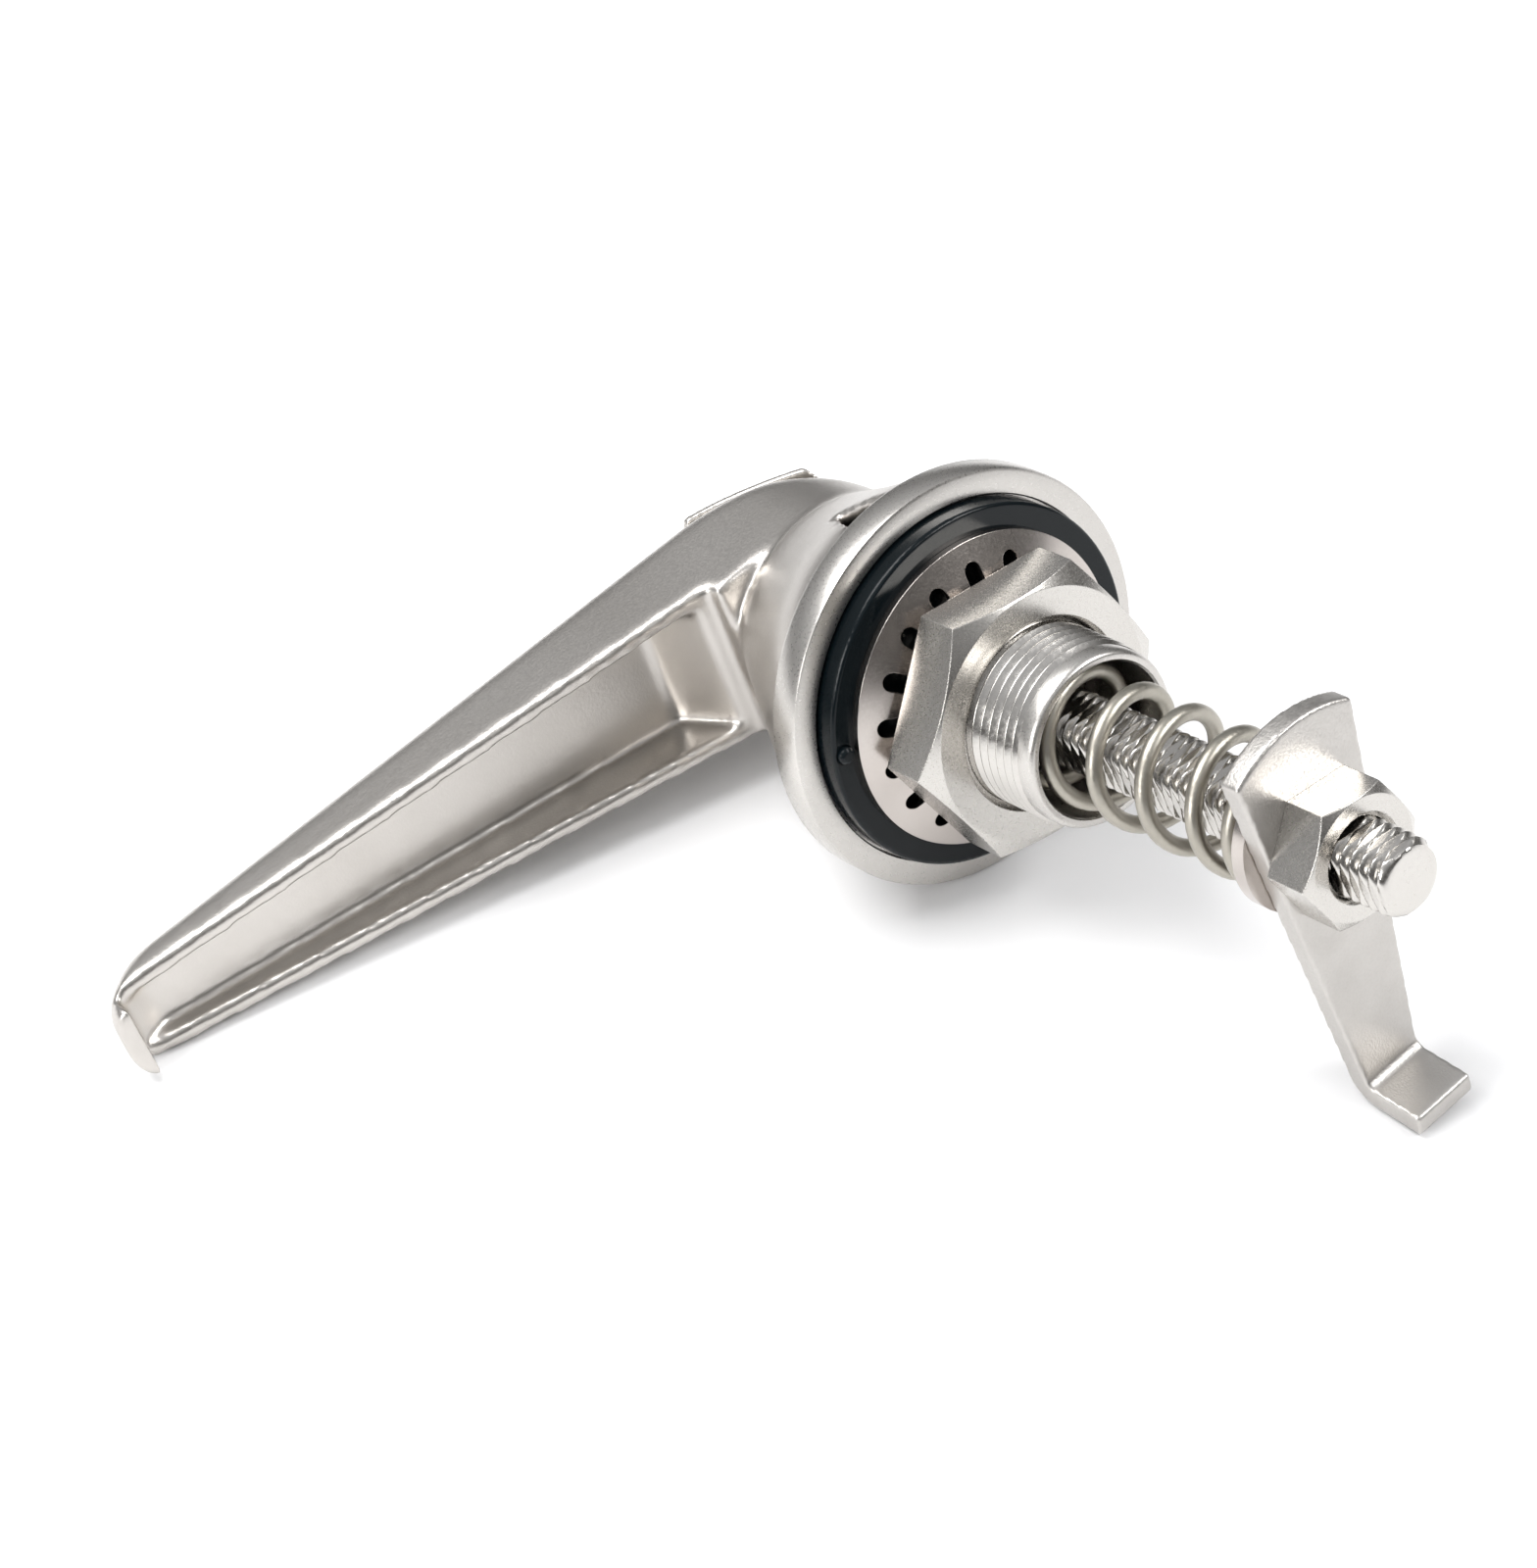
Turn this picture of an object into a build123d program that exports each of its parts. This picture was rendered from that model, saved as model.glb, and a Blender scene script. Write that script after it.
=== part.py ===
from build123d import *
import math
import os

# Lever-handle compression latch for a panel.  Millimetres.
# Frame: origin on the panel seat, on the spindle axis.  +Y runs through the panel to the
# inside, +X along the lever, +Z up, with the cam plate hanging down.

# ---- driving sizes -------------------------------------------------------------------
flange_r = 28.0            # round flange that lies on the panel
flange_t = 4.8
flange_edge = 0.6
recess_r = 24.5            # shallow seat for the gasket in the flange's back
recess_depth = 1.1

barrel_r = 12.0            # M24 x 1.5 over its crests
barrel_len = 25.9
barrel_edge = 0.8
bore_r = 10.2              # room for the spring
bore_floor_y = 8.0

boss_r = 17.5              # front boss that carries the bushing, inside the handle's skirt
boss_h = 9.2

lift_per_turn = 12.0       # the two face cams raise the handle by this for a whole turn
ramp_sweep = 155.0
ramp_r_in = 11.0
ramp_r_out = 16.8
ramp_deg = 25.0            # where the first ramp starts
lug_sweep = 58.0           # the handle's lugs that ride on the ramps

bushing_wall = 1.5
bushing_flange_r = 9.6
bushing_flange_t = 1.0

shank_r = 6.0              # round running length of the spindle
shank_end_y = 6.0
tenon_af = 9.0             # square end that drives the handle
tenon_len = 11.5
thread_r = 5.0             # M10 over its crests
thread_af = 8.4            # across the spindle's four flats
spindle_tip_y = 78.6
tip_edge = 1.0
oring_wire = 1.8
oring_y = -4.0
tap_depth = 15.5

gasket_r = 24.2
gasket_t = 3.9
gasket_edge = 0.5

lock_washer_r = 21.0
lock_washer_t = 1.0
lock_washer_rise = 3.4     # height of its cone
lock_washer_teeth = 18
tooth_root_r = 18.6
tooth_gap = 2.5

panel_nut_af = 34.0
panel_nut_h = 7.7
cam_nut_af = 16.0
cam_nut_h = 6.5
nut_chamfer_deg = 30.0
nut_turn = 52.0            # how far round both nuts were left when tightened

spring_seat_t = 1.0
spring_seat_r = 9.8
spring_wire = 2.2
spring_r = 9.0             # outside radius
spring_turns = 5.0         # working turns between the two closed ends
spring_phase = 195.0
spring_len = 50.4

spring_washer_t = 2.0
spring_washer_r = 10.0

cam_t = 3.0
cam_head_r = 17.2
cam_half_w = 8.1           # half width at the spindle
cam_arm = 35.2             # spindle axis to the bend line
cam_half_w_end = 4.6
cam_foot = 7.0             # how far the foot stands out of the plate
cam_foot_deg = 82.0
cam_bend_r = 1.5

handle_reach = 107.3       # spindle axis to the lever's tip
lever_back_y = -50.5       # outer face of the lever at the elbow
lever_back_tip_y = -56.0
elbow_end_x = 8.5          # where the elbow's curve runs into the straight back
lever_rim_y = -33.9        # open underside of the lever at the neck
lever_rim_tip_y = -50.1
lever_half_w_tip = 6.1
lever_edge_r = 4.2
lever_wall = 2.4
end_rim_w = 2.0            # rim round the pocket's end, beside the neck
lip_t = 2.7                # turned-down lip at the lever's tip
lip_h = 4.6
pocket_depth = 9.6
pocket_depth_tip = 3.0
pocket_end_slope = 4.5     # the floor rises to the rim over these lengths
pocket_tip_slope = 5.0
neck_x = -3.5              # the neck leans back from the spindle axis
neck_rx = 16.2
neck_rz = 13.6
neck_y = -31.5
skirt_r = 25.6
skirt_mouth_r = 18.3
notch_deg = 90.0           # the two V notches lie this far round from the lever
notch_half_w = 5.2
notch_h = 13.0

web_y = -38.0              # floor of the screw's counterbore
counterbore_r = 5.6
screw_r = 3.0
screw_head_r = 5.0
screw_head_h = 6.0
screw_key_af = 5.0
screw_washer_t = 1.5
screw_len = 21.0

cover_t = 1.2
cover_half_w = 7.4
cover_front_x = 6.5
cover_back_x = -15.5

pin_r = 1.15               # locating pin in the flange's back
pin_at = 22.6
pin_deg = -12.8
pin_out = 1.0

running = 0.06             # radial play of a shaft in its bush
seat_gap = 0.3             # axial play between pieces that move against each other
push = 0.03                # play between pieces that are pushed together

# ---- places worked out from the sizes --------------------------------------------------
flange_front_y = -flange_t
boss_front_y = flange_front_y - boss_h
bushing_front_y = boss_front_y - bushing_flange_t
bushing_r = shank_r + running + bushing_wall
skirt_y = flange_front_y - seat_gap
ramp_rise = lift_per_turn * ramp_sweep / 360
skirt_roof_y = boss_front_y - ramp_rise - seat_gap
tenon_y = skirt_roof_y - tenon_len
gasket_y = -recess_depth
washer_y = gasket_y + gasket_t
panel_nut_y = washer_y + lock_washer_t + lock_washer_rise
spring_y = bore_floor_y + spring_seat_t
spring_washer_y = spring_y + spring_len
cam_y = spring_washer_y + spring_washer_t
cam_nut_y = cam_y + cam_t
lip_x = handle_reach - lip_t


def turned(points):
    """Solid of revolution about the spindle axis from (radius, y) points."""
    return revolve(make_face(Polyline(*points, close=True)), Axis.Y)


def along_y(y):
    """Plane across the spindle axis at y, whose normal points inside (+Y)."""
    return Plane(origin=(0, y, 0), x_dir=(1, 0, 0), z_dir=(0, 1, 0))


def disc(r, y, h):
    return extrude(along_y(y) * Circle(r), h)


def flat_ring(r_out, r_in, y, h):
    return extrude(along_y(y) * (Circle(r_out) - Circle(r_in)), h)


def helical_block(r_in, r_out, y, sweep_deg, h, start_deg):
    """Quarter-ring block whose end faces climb towards the outside (-Y) as it goes round."""
    rise = lift_per_turn * sweep_deg / 360
    path = Helix(lift_per_turn, rise, (r_in + r_out) / 2, (0, y, 0), (0, -1, 0), lefthand=True)
    start = path @ 0
    out = Vector(start.X, 0, start.Z).normalized()
    section = Plane(origin=(0, y, 0), x_dir=out, z_dir=out.cross(Vector(0, 1, 0)))
    middle = section * (Pos((r_in + r_out) / 2, h / 2) * Rectangle(r_out - r_in, abs(h)))
    block = sweep(middle, path, is_frenet=True)
    now = math.degrees(math.atan2(-start.Z, start.X))
    return block.rotate(Axis.Y, start_deg - now)


def hex_nut(af, bore, y, h, inside_edge):
    """Hexagon nut, chamfered on its outer face, with a countersunk thread hole."""
    tan = math.tan(math.radians(nut_chamfer_deg))
    face_r = af / 2 * 0.985
    corner_r = af / 2 / math.cos(math.radians(30)) + 1
    cone = turned([(0, y), (corner_r, y), (corner_r, y + h - (corner_r - face_r) * tan),
                   (face_r, y + h), (0, y + h)])
    blank = extrude(along_y(y) * RegularPolygon(af / 2, 6, major_radius=False), h)
    blank = blank.rotate(Axis.Y, nut_turn) & cone
    hole = turned([(0, y - 1), (bore, y - 1), (bore, y + h - inside_edge),
                   (bore + inside_edge, y + h), (bore + inside_edge, y + h + 1), (0, y + h + 1)])
    return blank - hole


# ---- fixed pieces ----------------------------------------------------------------------
def base_body():
    edge = flange_edge
    body = turned([
        (bushing_r + push, boss_front_y), (boss_r - edge, boss_front_y),
        (boss_r, boss_front_y + edge), (boss_r, flange_front_y),
        (flange_r - edge, flange_front_y), (flange_r, flange_front_y + edge),
        (flange_r, -edge), (flange_r - edge, 0),
        (recess_r, 0), (recess_r, -recess_depth),
        (barrel_r, -recess_depth), (barrel_r, barrel_len - barrel_edge),
        (barrel_r - barrel_edge, barrel_len), (bore_r + edge / 2, barrel_len),
        (bore_r, barrel_len - edge), (bore_r, bore_floor_y),
        (bushing_r + push, bore_floor_y)])
    for start in (ramp_deg, ramp_deg + 180):
        body = body + helical_block(ramp_r_in, ramp_r_out, boss_front_y, ramp_sweep,
                                    ramp_rise + 0.6, start)
    return body - pin_shape(pin_r + push, gasket_y - 2.4, 2.4)


def pin_shape(r, y, h):
    at = Rot(0, pin_deg, 0) * Pos(pin_at, y, 0)
    return at * extrude(along_y(0) * Circle(r), h)


def locating_pin():
    pin = pin_shape(pin_r, gasket_y - 2.2, 2.2 + gasket_t + pin_out)
    return chamfer(pin.edges().group_by(Axis.Y)[-1], 0.4)


def bushing():
    y0, r0, r1 = bushing_front_y, shank_r + running, bushing_r
    return turned([(r0, y0), (bushing_flange_r, y0), (bushing_flange_r, boss_front_y),
                   (r1, boss_front_y), (r1, bore_floor_y), (r0, bore_floor_y)])


def gasket():
    ring = flat_ring(gasket_r, barrel_r + 0.3, gasket_y, gasket_t)
    ring = ring - pin_shape(pin_r + 0.1, gasket_y - 1, gasket_t + 2)
    outer = ring.edges().filter_by(GeomType.CIRCLE).filter_by(lambda e: e.radius > gasket_r - 0.1)
    return fillet(outer, gasket_edge)


def lock_washer():
    r0, y, t, rise = barrel_r + 0.4, washer_y, lock_washer_t, lock_washer_rise
    cone = turned([(lock_washer_r, y), (lock_washer_r, y + t), (r0, y + t + rise), (r0, y + rise)])
    slot_end = tooth_root_r - tooth_gap / 2
    slot = Pos(slot_end / 2 + 2, 0) * Rectangle(slot_end - 4, tooth_gap) \
        + Pos(slot_end, 0) * Circle(tooth_gap / 2)
    cutter = extrude(along_y(y - 1) * slot, rise + t + 2)
    for k in range(lock_washer_teeth):
        cone = cone - cutter.rotate(Axis.Y, k * 360 / lock_washer_teeth)
    return cone


def panel_nut():
    return hex_nut(panel_nut_af, barrel_r + push, panel_nut_y, panel_nut_h, 0.9)


def spring_seat():
    return flat_ring(spring_seat_r, thread_r + 0.5, bore_floor_y, spring_seat_t)


# ---- pieces that slide with the spindle ------------------------------------------------
def spring():
    """Round wire, closed and ground ends, even turns between."""
    mid_r = spring_r - spring_wire / 2
    pitch = (spring_len - 3 * spring_wire) / spring_turns
    steps = 8
    total = spring_turns + 2
    points = []
    for k in range(int(total * steps) + 1):
        turn = k / steps
        y = min(turn, 1) * spring_wire
        y += max(0, min(turn - 1, spring_turns)) * pitch
        y += max(0, turn - 1 - spring_turns) * spring_wire
        a = math.radians(360 * turn + spring_phase)
        points.append((mid_r * math.cos(a), spring_y + spring_wire / 2 + y, -mid_r * math.sin(a)))
    path = Spline(*points)
    wire = sweep(Plane(origin=path @ 0, z_dir=path % 0) * Circle(spring_wire / 2), path)
    room = disc(spring_r + 2, spring_y, spring_len)
    return wire & room


def spring_washer():
    return flat_ring(spring_washer_r, thread_r + 0.25, spring_washer_y, spring_washer_t)


# ---- pieces that turn with the handle --------------------------------------------------
def square_bar(r, af, y, h):
    return extrude(along_y(y) * (Circle(r) & Rectangle(af, af)), h)


def spindle():
    tenon = extrude(along_y(tenon_y) * Rectangle(tenon_af, tenon_af), tenon_len + 0.2)
    tenon = tenon & disc(shank_r, tenon_y, tenon_len + 1)
    shank_y = tenon_y + tenon_len
    shank = disc(shank_r, shank_y, shank_end_y - shank_y)
    groove = flat_ring(shank_r + 1, shank_r - oring_wire + 0.2, oring_y - oring_wire / 2,
                       oring_wire)
    tip = turned([(0, shank_end_y - 1), (thread_r + 1, shank_end_y - 1),
                  (thread_r + 1, spindle_tip_y - 1.5 * tip_edge - 1),
                  (thread_r - tip_edge, spindle_tip_y), (0, spindle_tip_y)])
    bar = square_bar(thread_r, thread_af, shank_end_y, spindle_tip_y - shank_end_y) & tip
    return tenon + (shank - groove) + bar - disc(screw_r + push, tenon_y, tap_depth)


def spindle_o_ring():
    mid_r = shank_r - oring_wire / 2 + 0.12
    ring = Plane.XY * (Pos(mid_r, oring_y) * Circle(oring_wire / 2 - 0.1))
    return revolve(ring, Axis.Y)


def cam_plate():
    """Tapered arm with a round head, its foot bent towards the inside."""
    head = math.sqrt(cam_head_r ** 2 - (cam_half_w * 1.15) ** 2)
    taper = (cam_half_w - cam_half_w_end) / cam_arm
    half = cam_half_w + taper * head
    end = cam_half_w_end
    bend_z = -cam_arm
    outline = make_face([
        Line((half, head), (end, bend_z)), Line((end, bend_z), (-end, bend_z)),
        Line((-end, bend_z), (-half, head)),
        ThreePointArc((-half, head), (0, cam_head_r), (half, head))])
    flip = Plane(origin=(0, cam_y, 0), x_dir=(1, 0, 0), z_dir=(0, -1, 0))
    plate = extrude(flip * outline, -cam_t)
    plate = plate + cam_foot_piece(bend_z)
    return plate - square_bar(thread_r + 0.15, thread_af + 0.2, cam_y - 1, cam_t + 2)


def cam_foot_piece(bend_z):
    """Bend and foot, as a side outline pulled across the arm and tapered to the tip."""
    turn = math.radians(cam_foot_deg)
    out_r = cam_bend_r + cam_t
    centre = (cam_y + cam_t + cam_bend_r, bend_z)
    def on(r, angle):
        return (centre[0] - r * math.cos(angle), centre[1] - r * math.sin(angle))
    run = (math.sin(turn) * cam_foot, -math.cos(turn) * cam_foot)
    inner, outer = on(cam_bend_r, turn), on(out_r, turn)
    inner_end = (inner[0] + run[0], inner[1] + run[1])
    outer_end = (outer[0] + run[0], outer[1] + run[1])
    side = make_face([
        Line((cam_y, bend_z), (cam_y + cam_t, bend_z)),
        ThreePointArc(on(cam_bend_r, 0), on(cam_bend_r, turn / 2), inner),
        Line(inner, inner_end), Line(inner_end, outer_end), Line(outer_end, outer),
        ThreePointArc(outer, on(out_r, turn / 2), on(out_r, 0))])
    across = Plane(origin=(-cam_half_w_end, 0, 0), x_dir=(0, 1, 0), z_dir=(1, 0, 0))
    foot = extrude(across * side, 2 * cam_half_w_end)
    tip = foot.edges().filter_by(Axis.X).sort_by(Axis.Y)[-2:]
    return fillet(tip, 0.5)


def cam_nut():
    return hex_nut(cam_nut_af, thread_r + push, cam_nut_y, cam_nut_h, 0.7)


# ---- the cast handle -------------------------------------------------------------------
def rim_y(x):
    run = (x - neck_x - neck_rx) / (lip_x - neck_x - neck_rx)
    return lever_rim_y + (lever_rim_tip_y - lever_rim_y) * run


def plan_face(inset=0.0):
    """The lever from outside: an oval neck that runs out into a tapered bar."""
    rx, rz = neck_rx - inset, neck_rz - inset
    tip_w, tip_x = lever_half_w_tip - inset, handle_reach - inset
    slope = (rz - tip_w) / (tip_x - neck_x)
    t = math.degrees(math.atan2(rz, slope * rx))
    x1, z1 = neck_x + rx * math.cos(math.radians(t)), rz * math.sin(math.radians(t))
    oval = EllipticalCenterArc((neck_x, 0), rx, rz, start_angle=t, arc_size=360 - 2 * t)
    return make_face([oval, Line((x1, -z1), (tip_x, -tip_w)), Line((tip_x, -tip_w), (tip_x, tip_w)),
                      Line((tip_x, tip_w), (x1, z1))])


def elbow_line():
    neck_back = neck_x - neck_rx
    return Spline((neck_back, neck_y), (neck_back + 3.6, neck_y - 8.2), (0, lever_back_y + 1.3),
                  (elbow_end_x, lever_back_y), tangents=[(0, -1), (1, -0.06)])


def side_face():
    """The handle from the side, above the neck: elbow, flat back, rims and tip lip."""
    neck_back = neck_x - neck_rx
    neck_front = neck_x + neck_rx
    elbow = elbow_line()
    back_x = handle_reach - 11.5
    tip = Spline((back_x, lever_back_tip_y), (handle_reach - 3.2, lever_back_tip_y + 3.2),
                 (handle_reach, lip_root_y() + lip_h - 0.9), tangents=[(1, -0.06), (0.05, 1)])
    return make_face([
        elbow, Line(elbow @ 1, tip @ 0), tip,
        Line(tip @ 1, (lip_x, lip_root_y() + lip_h)),
        Line((lip_x, lip_root_y() + lip_h), (lip_x, lip_root_y())),
        Line((lip_x, lip_root_y()), (neck_front, lever_rim_y)),
        Line((neck_front, lever_rim_y), (neck_front, neck_y)),
        Line((neck_front, neck_y), (neck_back, neck_y))])


def lip_root_y():
    return lever_rim_tip_y


def hub():
    """Bell-shaped skirt under the elbow, lofted through ovals to a circle."""
    levels = [(neck_y, neck_x, neck_rx, neck_rz),
              (-24.0, neck_x * 0.62, 19.2, 17.4),
              (-14.5, neck_x * 0.17, 22.8, 22.3),
              (-8.5, 0.0, skirt_r - 0.7, skirt_r - 0.7),
              (skirt_y, 0.0, skirt_r, skirt_r)]
    ovals = [along_y(y) * (Pos(x, 0) * Ellipse(rx, rz)) for y, x, rx, rz in levels]
    return loft(ovals)


def pocket():
    """The hollow underside of the lever."""
    root_x = neck_x + neck_rx + end_rim_w
    floor_root = rim_y(root_x) - pocket_depth
    floor_tip = rim_y(lip_x - pocket_tip_slope) - pocket_depth_tip
    side = make_face(Polyline((root_x, rim_y(root_x) + 1.2), (root_x, rim_y(root_x)),
                              (root_x + pocket_end_slope, floor_root),
                              (lip_x - pocket_tip_slope, floor_tip), (lip_x, rim_y(lip_x)),
                              (lip_x, rim_y(lip_x) + 1.2), close=True))
    solid = extrude(Plane.XY * side, 40, both=True)
    plan = extrude(along_y(-70) * plan_face(lever_wall), 60)
    cut = (solid & plan) - disc(root_x, -70, 60)
    return cut


def handle():
    side = extrude(Plane.XY * side_face(), 30, both=True)
    plan = extrude(along_y(-70) * plan_face(), 70)
    lever = side & plan
    back = [e for e in lever.edges() if is_back_edge(e)]
    lever = fillet(back, lever_edge_r)
    body = lever + hub()
    body = body - pocket()
    body = body - disc(skirt_mouth_r, skirt_roof_y, 40)
    for start in (ramp_deg + 3, ramp_deg + 183):
        body = body + helical_block(ramp_r_in, ramp_r_out, lug_y(), lug_sweep,
                                    skirt_roof_y - lug_y() - 0.6, start)
    half = tenon_af / 2 + push
    body = body - extrude(along_y(tenon_y - push) * Rectangle(2 * half, 2 * half), 20)
    body = body - disc(screw_r + 0.3, web_y - 1, 20)
    body = body - disc(counterbore_r, web_y - 30, 30)
    return body - notches()


def lug_y():
    return boss_front_y - seat_gap - lift_per_turn * 3 / 360


def is_back_edge(edge):
    c = edge.center()
    return abs(c.Z) > 1 and c.Y < rim_y(c.X) - 1 and c.Y < neck_y - 2 and edge.length > 8


def notches():
    wedge = make_face(Polyline((-notch_half_w, 1), (notch_half_w, 1), (0, -notch_h), close=True))
    cut = extrude(Plane.XY.offset(skirt_mouth_r - 6) * (Pos(0, skirt_y) * wedge), 20)
    one = cut.rotate(Axis.Y, notch_deg - 90)
    return one + one.rotate(Axis.Y, 180)


def cover_plate():
    """Blank cover bent over the elbow, above the screw."""
    band = trace(elbow_line(), 2 * cover_t) - side_face()
    window = Pos((cover_front_x + cover_back_x) / 2, lever_back_y + 2) * Rectangle(
        cover_front_x - cover_back_x, 24)
    strip = extrude(Plane.XY * (band & window), cover_half_w, both=True)
    ends = make_face([
        Line((cover_back_x + 3, cover_half_w), (cover_front_x - 3, cover_half_w)),
        ThreePointArc((cover_front_x - 3, cover_half_w), (cover_front_x, 0),
                      (cover_front_x - 3, -cover_half_w)),
        Line((cover_front_x - 3, -cover_half_w), (cover_back_x + 3, -cover_half_w)),
        ThreePointArc((cover_back_x + 3, -cover_half_w), (cover_back_x, 0),
                      (cover_back_x + 3, cover_half_w))])
    return strip & extrude(along_y(-70) * ends, 60)


def handle_screw():
    head_y = web_y - screw_washer_t
    head = disc(screw_head_r, head_y - screw_head_h, screw_head_h)
    key = extrude(along_y(head_y - screw_head_h) * RegularPolygon(
        screw_key_af / 2, 6, major_radius=False), screw_head_h / 2)
    return head - key + disc(screw_r, head_y - 0.5, screw_len + 0.5)


def screw_washer():
    return flat_ring(screw_head_r, screw_r + 0.2, web_y - screw_washer_t, screw_washer_t)


pieces = {
    "base_body": base_body, "locating_pin": locating_pin, "bushing": bushing, "gasket": gasket,
    "lock_washer": lock_washer, "panel_nut": panel_nut, "spring_seat": spring_seat,
    "spring": spring, "spring_washer": spring_washer, "spindle": spindle,
    "spindle_o_ring": spindle_o_ring, "cam_plate": cam_plate, "cam_nut": cam_nut,
    "handle": handle, "cover_plate": cover_plate, "handle_screw": handle_screw,
    "screw_washer": screw_washer}

os.makedirs("parts", exist_ok=True)
for name, make in pieces.items():
    export_step(make(), "parts/" + name + ".step")
    print(name)
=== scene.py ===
import bpy
import bmesh
import math
from mathutils import Matrix, Vector


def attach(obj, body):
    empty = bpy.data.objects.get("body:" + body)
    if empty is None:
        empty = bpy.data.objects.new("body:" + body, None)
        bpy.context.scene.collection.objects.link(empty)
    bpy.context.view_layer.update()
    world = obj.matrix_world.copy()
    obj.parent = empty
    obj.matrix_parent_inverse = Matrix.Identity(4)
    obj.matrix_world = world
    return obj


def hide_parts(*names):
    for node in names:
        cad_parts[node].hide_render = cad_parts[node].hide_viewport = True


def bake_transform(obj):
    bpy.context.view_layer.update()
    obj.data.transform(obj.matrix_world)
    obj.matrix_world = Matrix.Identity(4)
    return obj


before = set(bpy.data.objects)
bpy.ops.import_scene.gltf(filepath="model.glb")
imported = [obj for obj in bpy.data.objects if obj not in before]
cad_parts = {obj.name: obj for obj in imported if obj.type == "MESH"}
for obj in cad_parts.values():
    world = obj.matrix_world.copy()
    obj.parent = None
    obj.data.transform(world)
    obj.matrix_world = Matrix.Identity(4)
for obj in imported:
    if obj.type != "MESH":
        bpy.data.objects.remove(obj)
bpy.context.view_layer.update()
scene = bpy.context.scene
mm = 0.001


# the camera, in metres
cameraPlace = {"at": (0.2079, 0.3576, 0.2861), "right": (-0.7340, 0.6039, -0.3109),
               "forward": (-0.3614, -0.7347, -0.5742), "lens": 90.0}


def makeCamera(place):
    forward = Vector(place["forward"]).normalized()
    right = Vector(place["right"])
    right = (right - forward * right.dot(forward)).normalized()
    up = right.cross(forward)
    data = bpy.data.cameras.new("camera")
    data.lens = place["lens"]
    data.sensor_width = 36
    camera = bpy.data.objects.new("camera", data)
    scene.collection.objects.link(camera)
    turn = Matrix((right, up, -forward)).transposed().to_4x4()
    camera.matrix_world = Matrix.Translation(place["at"]) @ turn
    scene.camera = camera


makeCamera(cameraPlace)
print("camera placed")


# the table that the latch lies on
table = {"normal": (-0.121, 0.180, 0.976), "height": -0.0279, "size": 6.0,
         "colour": (0.83, 0.83, 0.835)}


def makeTable(values):
    normal = Vector(values["normal"]).normalized()
    bm = bmesh.new()
    bmesh.ops.create_grid(bm, x_segments=2, y_segments=2, size=values["size"])
    turn = Vector((0, 0, 1)).rotation_difference(normal).to_matrix().to_4x4()
    bmesh.ops.transform(bm, matrix=Matrix.Translation(normal * values["height"]) @ turn, verts=bm.verts)
    mesh = bpy.data.meshes.new("table")
    bm.to_mesh(mesh)
    bm.free()
    floor = bpy.data.objects.new("table", mesh)
    scene.collection.objects.link(floor)
    mat = bpy.data.materials.new("tableWhite")
    mat.use_nodes = True
    nodes, links = mat.node_tree.nodes, mat.node_tree.links
    nodes.clear()
    out = nodes.new("ShaderNodeOutputMaterial")
    white = nodes.new("ShaderNodeBsdfDiffuse")
    white.inputs["Color"].default_value = (*values["colour"], 1)
    clear = nodes.new("ShaderNodeBsdfTransparent")
    side = nodes.new("ShaderNodeNewGeometry")
    mix = nodes.new("ShaderNodeMixShader")
    links.new(side.outputs["Backfacing"], mix.inputs["Fac"])
    links.new(white.outputs[0], mix.inputs[1])
    links.new(clear.outputs[0], mix.inputs[2])
    links.new(mix.outputs[0], out.inputs["Surface"])
    mesh.materials.append(mat)


makeTable(table)

# a pale ceiling over a darker room, so that the metal has something to show
roomLight = {"high": (0.92, 0.93, 0.95), "low": (0.16, 0.155, 0.15), "from": 0.10, "to": 0.75,
             "seen": (1.5, 1.5, 1.5), "strength": 0.62}


def makeWorld(values):
    world = bpy.data.worlds.new("room")
    scene.world = world
    world.use_nodes = True
    nodes, links = world.node_tree.nodes, world.node_tree.links
    back = nodes["Background"]
    place = nodes.new("ShaderNodeTexCoord")
    split = nodes.new("ShaderNodeSeparateXYZ")
    ramp = nodes.new("ShaderNodeValToRGB")
    for stop, at, colour in ((0, "from", "low"), (1, "to", "high")):
        ramp.color_ramp.elements[stop].position = values[at]
        ramp.color_ramp.elements[stop].color = (*values[colour], 1)
    path = nodes.new("ShaderNodeLightPath")
    seen = nodes.new("ShaderNodeMix")
    seen.data_type = "RGBA"
    seen.inputs["B"].default_value = (*values["seen"], 1)
    links.new(place.outputs["Generated"], split.inputs[0])
    links.new(split.outputs["Z"], ramp.inputs[0])
    links.new(path.outputs["Is Camera Ray"], seen.inputs["Factor"])
    links.new(ramp.outputs["Color"], seen.inputs["A"])
    links.new(seen.outputs["Result"], back.inputs["Color"])
    back.inputs["Strength"].default_value = values["strength"]


makeWorld(roomLight)

lampTarget = (0.02, 0.0, 0.0)
lamps = [
    {"name": "overhead", "at": (0.15, -0.10, 0.75), "size": 0.55, "power": 7.0},
    {"name": "leftBox", "at": (0.70, 0.10, 0.35), "size": 0.30, "power": 2.6},
    {"name": "rightBox", "at": (-0.50, 0.55, 0.40), "size": 0.35, "power": 4.2},
]


def makeLamp(values):
    data = bpy.data.lights.new(values["name"], "AREA")
    data.size = values["size"]
    data.energy = values["power"]
    lamp = bpy.data.objects.new(values["name"], data)
    scene.collection.objects.link(lamp)
    lamp.location = values["at"]
    aim = Vector(lampTarget) - lamp.location
    lamp.rotation_euler = aim.to_track_quat("-Z", "Y").to_euler()


for values in lamps:
    makeLamp(values)
scene.view_settings.view_transform = "Standard"
print("table and lamps ready")


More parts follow.
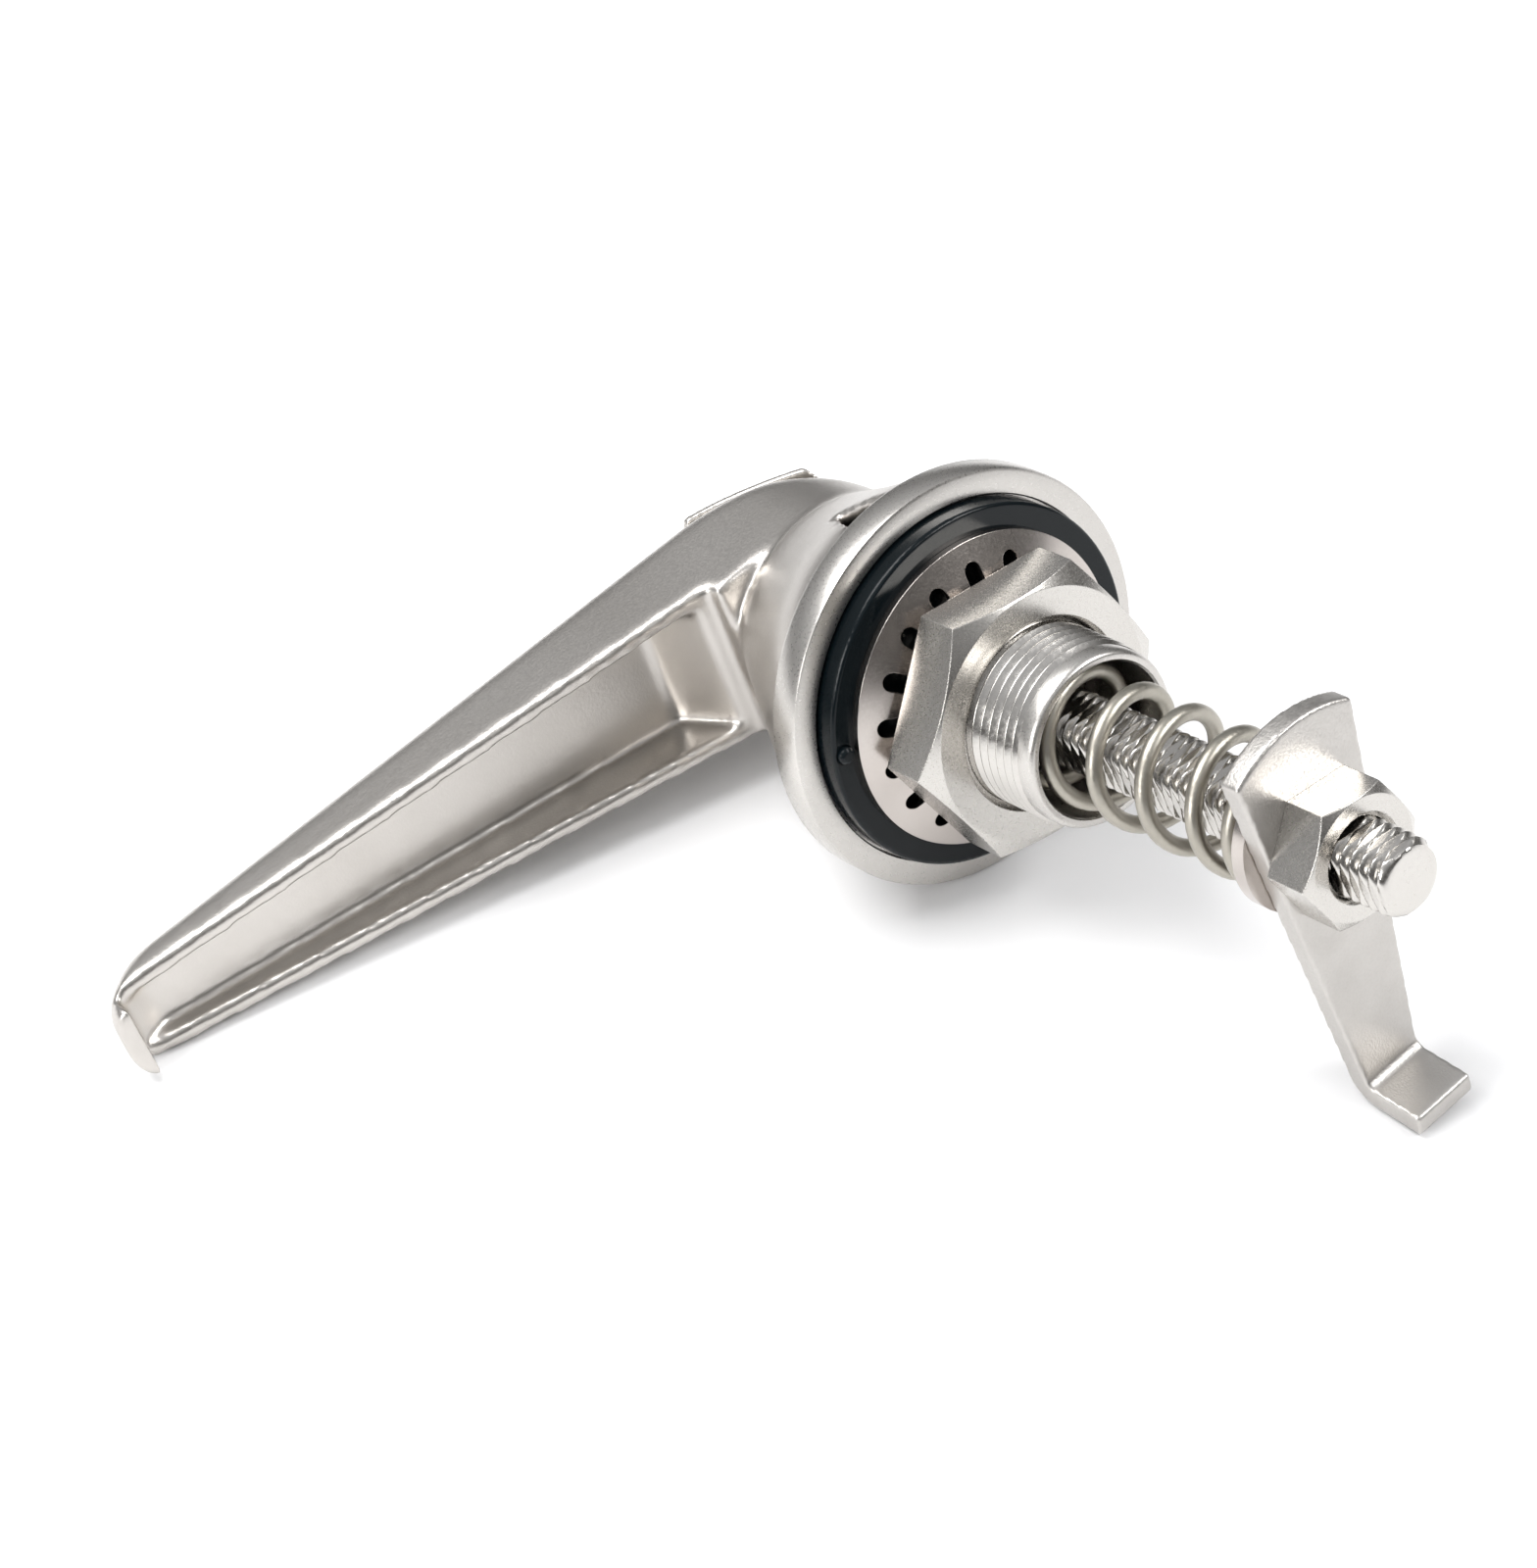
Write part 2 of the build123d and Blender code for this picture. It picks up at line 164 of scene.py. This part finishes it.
def newGroup(name, inputs, outputs):
    group = bpy.data.node_groups.new(name, "ShaderNodeTree")
    for label, kind, start in inputs:
        socket = group.interface.new_socket(name=label, in_out="INPUT", socket_type=kind)
        socket.default_value = start
    for label, kind in outputs:
        group.interface.new_socket(name=label, in_out="OUTPUT", socket_type=kind)
    return group, group.nodes.new("NodeGroupInput"), group.nodes.new("NodeGroupOutput")


def makeGrain():
    # cloudy tone and fine cast or blasted grain
    group, start, end = newGroup(
        "grain",
        [("Cloud Scale", "NodeSocketFloat", 90), ("Grain Scale", "NodeSocketFloat", 2600)],
        [("Cloud", "NodeSocketFloat"), ("Grain", "NodeSocketFloat")])
    place = group.nodes.new("ShaderNodeTexCoord")
    for label, detail in (("Cloud", 4), ("Grain", 3)):
        noise = group.nodes.new("ShaderNodeTexNoise")
        noise.inputs["Detail"].default_value = detail
        group.links.new(place.outputs["Object"], noise.inputs["Vector"])
        group.links.new(start.outputs[label + " Scale"], noise.inputs["Scale"])
        group.links.new(noise.outputs["Fac"], end.inputs[label])
    return group


grainGroup = makeGrain()


grainHeight = 0.0001    # metres


def makeFinish(name, values):
    mat = bpy.data.materials.new(name)
    mat.use_nodes = True
    nodes, links = mat.node_tree.nodes, mat.node_tree.links
    shader = nodes["Principled BSDF"]
    shader.inputs["Metallic"].default_value = values["metal"]
    if "specular" in values:
        shader.inputs["Specular IOR Level"].default_value = values["specular"]
    grain = nodes.new("ShaderNodeGroup")
    grain.node_tree = grainGroup
    grain.inputs["Cloud Scale"].default_value = values["cloud"]
    grain.inputs["Grain Scale"].default_value = values["grain"]
    fine = grain.outputs["Grain"]
    tone = nodes.new("ShaderNodeMix")
    tone.data_type = "RGBA"
    tone.inputs["A"].default_value = (*values["dark"], 1)
    tone.inputs["B"].default_value = (*values["light"], 1)
    links.new(grain.outputs["Cloud"], tone.inputs["Factor"])
    links.new(tone.outputs["Result"], shader.inputs["Base Color"])
    rough = nodes.new("ShaderNodeMapRange")
    rough.inputs["From Min"].default_value = 0.3
    rough.inputs["From Max"].default_value = 0.7
    rough.inputs["To Min"].default_value = values["rough"][0]
    rough.inputs["To Max"].default_value = values["rough"][1]
    links.new(fine, rough.inputs["Value"])
    links.new(rough.outputs["Result"], shader.inputs["Roughness"])
    bump = nodes.new("ShaderNodeBump")
    bump.inputs["Strength"].default_value = values["bump"]
    bump.inputs["Distance"].default_value = grainHeight
    links.new(fine, bump.inputs["Height"])
    if "round" in values:    # softened edges
        edge = nodes.new("ShaderNodeBevel")
        edge.samples = 6
        edge.inputs["Radius"].default_value = values["round"]
        links.new(edge.outputs["Normal"], bump.inputs["Normal"])
    links.new(bump.outputs["Normal"], shader.inputs["Normal"])
    return mat


# dark and light set the cloudy tone; round softens the edges, in metres
finishes = {
    "castSteel": {
        "metal": 1.0, "dark": (0.46, 0.435, 0.405), "light": (0.6, 0.575, 0.545),
        "rough": (0.29, 0.38), "cloud": 70, "grain": 2600, "bump": 0.22},
    "flangeSteel": {
        "metal": 1.0, "dark": (0.5, 0.48, 0.455), "light": (0.62, 0.6, 0.57),
        "rough": (0.26, 0.33), "cloud": 60, "grain": 3200, "bump": 0.05},
    "turnedSteel": {
        "metal": 1.0, "dark": (0.54, 0.52, 0.49), "light": (0.6, 0.58, 0.55),
        "rough": (0.22, 0.29), "cloud": 90, "grain": 3600, "bump": 0.02, "round": 0.00022},
    "threadSteel": {
        "metal": 1.0, "dark": (0.52, 0.5, 0.47), "light": (0.64, 0.62, 0.59),
        "rough": (0.16, 0.28), "cloud": 80, "grain": 1800, "bump": 0.08},
    "washerSteel": {
        "metal": 1.0, "dark": (0.46, 0.42, 0.39), "light": (0.55, 0.51, 0.48),
        "rough": (0.2, 0.27), "cloud": 120, "grain": 3600, "bump": 0.02, "round": 0.00015},
    "camSteel": {
        "metal": 1.0, "dark": (0.46, 0.44, 0.415), "light": (0.6, 0.58, 0.555),
        "rough": (0.3, 0.48), "cloud": 150, "grain": 3000, "bump": 0.45},
    "springSteel": {
        "metal": 1.0, "dark": (0.33, 0.31, 0.265), "light": (0.45, 0.425, 0.375),
        "rough": (0.3, 0.46), "cloud": 160, "grain": 2600, "bump": 0.2},
    "sealRubber": {
        "metal": 0.0, "dark": (0.002, 0.004, 0.005), "light": (0.004, 0.007, 0.009),
        "rough": (0.12, 0.2), "cloud": 120, "grain": 700, "bump": 0.06, "round": 0.0003, "specular": 0.22},
    "bushPlastic": {
        "metal": 0.0, "dark": (0.02, 0.02, 0.02), "light": (0.03, 0.03, 0.03),
        "rough": (0.4, 0.55), "cloud": 80, "grain": 1500, "bump": 0.1},
}
finish = {name: makeFinish(name, values) for name, values in finishes.items()}


def dress(node, name):
    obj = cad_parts[node]
    obj.data.materials.clear()
    obj.data.materials.append(finish[name])


carried = {"panel_nut": "turnedSteel", "cam_nut": "turnedSteel", "lock_washer": "washerSteel",
           "spring_washer": "washerSteel", "spring_seat": "washerSteel", "screw_washer": "washerSteel",
           "handle_screw": "turnedSteel", "bushing": "bushPlastic",
           "gasket": "sealRubber", "locating_pin": "sealRubber", "spindle_o_ring": "sealRubber"}
for node, name in carried.items():
    dress(node, name)
print("finishes on")


def finishPiece(bm, name, material, nodes, smoothAngle):
    mesh = bpy.data.meshes.new(name)
    bmesh.ops.remove_doubles(bm, verts=bm.verts, dist=1e-6)
    bmesh.ops.recalc_face_normals(bm, faces=bm.faces)
    for edge in bm.edges:
        edge.smooth = len(edge.link_faces) != 2 or edge.calc_face_angle(0) < math.radians(smoothAngle)
    for face in bm.faces:
        face.smooth = True
    bm.to_mesh(mesh)
    bm.free()
    piece = bpy.data.objects.new(name, mesh)
    scene.collection.objects.link(piece)
    mesh.materials.append(finish[material])
    if nodes:
        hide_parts(*nodes)
    return piece


def spinOutline(bm, outline, steps, closed=True):
    # outline: (radius, y) in millimetres, turned about the spindle axis
    verts = [bm.verts.new((r * mm, y * mm, 0)) for r, y in outline]
    edges = [bm.edges.new((verts[i], verts[i + 1])) for i in range(len(verts) - 1)]
    if closed:
        edges.append(bm.edges.new((verts[-1], verts[0])))
    bmesh.ops.spin(bm, geom=verts + edges, cent=(0, 0, 0), axis=(0, 1, 0), angle=2 * math.pi,
                   steps=steps, use_merge=True)


def trimEnds(bm, low, high):
    for y, side in ((low, True), (high, False)):
        geom = bm.verts[:] + bm.edges[:] + bm.faces[:]
        bmesh.ops.bisect_plane(bm, geom=geom, plane_co=(0, y * mm, 0), plane_no=(0, 1, 0),
                               clear_inner=side, clear_outer=not side)


# flange and barrel, in millimetres
body = {"flangeR": 28.0, "flangeT": 4.8, "edge": 0.55, "recessR": 24.5, "recess": 1.1,
        "bossR": 17.5, "bossY": -14.0, "barrelR": 12.0, "threadDepth": 0.86, "pitch": 1.5,
        "threadFrom": 1.0, "threadTo": 23.4, "end": 25.9,
        "bore": 10.2, "floor": 8.0, "hole": 7.6, "steps": 160, "threadSteps": 96}


def makeBody(v):
    e, core, front, rim = v["edge"], v["barrelR"] - v["threadDepth"], -v["flangeT"], v["flangeR"]
    bm = bmesh.new()
    spinOutline(bm, [
        (v["hole"], v["bossY"]), (v["bossR"] - 0.5, v["bossY"]), (v["bossR"], v["bossY"] + 0.5),
        (v["bossR"], front), (rim - e, front), (rim - 0.3 * e, front + 0.25 * e), (rim, front + e),
        (rim, -e), (rim - 0.3 * e, -0.25 * e), (rim - e, 0), (v["recessR"] + 0.2, 0),
        (v["recessR"], -0.15), (v["recessR"], -v["recess"]), (core, -v["recess"]),
        (core, v["threadTo"] - 0.2), (core + 0.5, v["threadTo"]), (core + 0.5, v["end"] - 0.7),
        (core + 0.2, v["end"] - 0.15), (core - 0.1, v["end"]), (v["bore"] + 0.25, v["end"]),
        (v["bore"], v["end"] - 0.3), (v["bore"], v["floor"]), (v["hole"], v["floor"])], v["steps"])
    piece = finishPiece(bm, "flangeAndBarrel", "flangeSteel", ["base_body"], 35)
    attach(piece, "base")


def makeBarrelThread(v):
    # one pitch of thread, carried round the barrel as a helix
    bm = bmesh.new()
    core, crest, p = v["barrelR"] - v["threadDepth"], v["barrelR"] - 0.02, v["pitch"]
    ring = [(core, 0), (core + 0.02, 0.08), (crest - 0.04, 0.62), (crest, 0.70), (crest, 0.80),
            (crest - 0.04, 0.88), (core + 0.02, 1.42), (core, p)]
    verts = [bm.verts.new((r * mm, (v["threadFrom"] - p + y) * mm, 0)) for r, y in ring]
    edges = [bm.edges.new((verts[i], verts[i + 1])) for i in range(len(verts) - 1)]
    turns = math.ceil((v["threadTo"] - v["threadFrom"]) / p) + 2
    bmesh.ops.spin(bm, geom=verts + edges, cent=(0, 0, 0), axis=(0, 1, 0), angle=2 * math.pi * turns,
                   steps=v["threadSteps"] * turns, dvec=(0, p * mm / v["threadSteps"], 0))
    bmesh.ops.remove_doubles(bm, verts=bm.verts, dist=2e-6)
    trimEnds(bm, v["threadFrom"], v["threadTo"])
    piece = finishPiece(bm, "barrelThread", "threadSteel", [], 60)
    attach(piece, "base")


# spindle, in millimetres: square end, round shank, square rod with threaded corners
spindle = {"from": -31.1, "shoulder": -19.6, "shankTo": 6.0, "shankR": 6.0, "tenon": 9.0, "crest": 4.98,
           "root": 4.15, "flat": 4.2, "pitch": 1.5, "tip": 78.56, "round": 1.3, "tipDraw": 1.6, "steps": 96}


def spindleRadius(v, y, a):
    square = 1 / max(abs(math.cos(a)), abs(math.sin(a)))
    if y <= v["shoulder"]:
        return min(v["tenon"] / 2 * square, v["shankR"])
    if y <= v["shankTo"]:
        return v["shankR"]
    wave = abs(((y / v["pitch"] - a / (2 * math.pi)) % 1.0) * 2 - 1)
    thread = v["root"] + (v["crest"] - v["root"]) * min(1, max(0, (wave - 0.08) * 1.25))
    radius = min(thread, v["flat"] * square)
    left = v["tip"] - y
    if left < v["round"]:    # the rounded tip
        k = 1 - left / v["round"]
        radius = min(radius, v["crest"] - v["tipDraw"] * (1 - math.sqrt(max(0.0, 1 - k * k))))
    return radius


def makeSpindle(v):
    bm = bmesh.new()
    heights = [v["from"], v["shoulder"] - 0.05, v["shoulder"], v["shoulder"] + 0.05,
               v["shankTo"] - 0.05, v["shankTo"], v["shankTo"] + 0.05]
    y = v["shankTo"] + 0.2
    while y < v["tip"] - v["round"]:
        heights.append(y)
        y += v["pitch"] / 10
    for k in range(7):
        heights.append(v["tip"] - v["round"] * (1 - math.sin(math.radians(15 * k))))
    outline = [(0, heights[0])] + [(5, y) for y in heights] + [(0, heights[-1])]
    spinOutline(bm, outline, v["steps"], closed=False)
    for vert in bm.verts:
        r = math.hypot(vert.co.x, vert.co.z) / mm
        if r < 1:    # the two poles
            continue
        want = spindleRadius(v, vert.co.y / mm, math.atan2(-vert.co.z, vert.co.x))
        vert.co.x *= want / r
        vert.co.z *= want / r
    piece = finishPiece(bm, "threadedSpindle", "threadSteel", ["spindle"], 45)
    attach(piece, "handle_set")


# spring, in millimetres and degrees: a closed turn, the working turns and a closed turn
coil = {"wire": 2.2, "outer": 18.0, "from": 9.0, "length": 50.4, "turns": 5, "phase": 195,
        "steps": 48, "sides": 18, "ground": 0.02}


def makeSpring(v):
    bm = bmesh.new()
    mid = v["outer"] / 2 - v["wire"] / 2
    turn = Matrix.Rotation(math.radians(v["phase"]), 4, "Y")
    place = Matrix.Translation((mid * mm, (v["from"] + v["wire"] / 2) * mm, 0))
    made = bmesh.ops.create_circle(bm, cap_ends=False, segments=v["sides"], radius=v["wire"] / 2 * mm,
                                   matrix=turn @ place)
    geom = made["verts"] + list({e for vert in made["verts"] for e in vert.link_edges})
    pitch = (v["length"] - 3 * v["wire"]) / v["turns"]
    for turns, rise in ((1, v["wire"]), (v["turns"], pitch), (1, v["wire"])):
        made = bmesh.ops.spin(bm, geom=geom, cent=(0, 0, 0), axis=(0, 1, 0), angle=2 * math.pi * turns,
                              steps=v["steps"] * turns, dvec=(0, rise * mm / v["steps"], 0))
        geom = made["geom_last"]
    end = v["from"] + v["length"]
    trimEnds(bm, v["from"] + v["ground"], end - v["ground"])
    bmesh.ops.holes_fill(bm, edges=[e for e in bm.edges if e.is_boundary], sides=0)
    piece = finishPiece(bm, "coilSpring", "springSteel", ["spring"], 50)
    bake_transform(piece)


# copies of solids with soft cast edges: voxel in millimetres, widen across the lever
softCopies = {
    "castHandle": {"node": "handle", "voxel": 0.55, "rounds": 18, "finish": "castSteel",
                   "slot": "cast_steel", "widen": 1.0},
    "elbowPad": {"node": "cover_plate", "voxel": 0.30, "rounds": 4, "finish": "castSteel",
                 "slot": "cast_steel", "widen": 1.58},
    "camPlate": {"node": "cam_plate", "voxel": 0.30, "rounds": 5, "finish": "camSteel",
                 "slot": "machined_steel", "widen": 1.0},
}


def makeSoftCopy(name, v):
    bm = bmesh.new()
    bm.from_mesh(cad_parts[v["node"]].data)
    bmesh.ops.remove_doubles(bm, verts=bm.verts, dist=1e-6)
    bmesh.ops.scale(bm, vec=(1, 1, v["widen"]), verts=bm.verts)
    mesh = bpy.data.meshes.new(name)
    bm.to_mesh(mesh)
    bm.free()
    piece = bpy.data.objects.new(name, mesh)
    scene.collection.objects.link(piece)
    remesh = piece.modifiers.new("cast", "REMESH")
    remesh.mode = "VOXEL"
    remesh.voxel_size = v["voxel"] * mm
    smooth = piece.modifiers.new("soften", "SMOOTH")
    smooth.factor = 0.5
    smooth.iterations = v["rounds"]
    shaped = piece.evaluated_get(bpy.context.evaluated_depsgraph_get())
    baked = bpy.data.meshes.new_from_object(shaped)
    piece.modifiers.clear()
    piece.data = baked
    baked.materials.clear()
    baked.materials.append(finish[v["finish"]])
    for face in baked.polygons:
        face.use_smooth = True
    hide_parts(v["node"])
    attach(piece, "handle_set")
    print(name, "faces", len(baked.polygons))


makeBody(body)
makeBarrelThread(body)
makeSpindle(spindle)
makeSpring(coil)
for name, values in softCopies.items():
    makeSoftCopy(name, values)
print("pieces made")
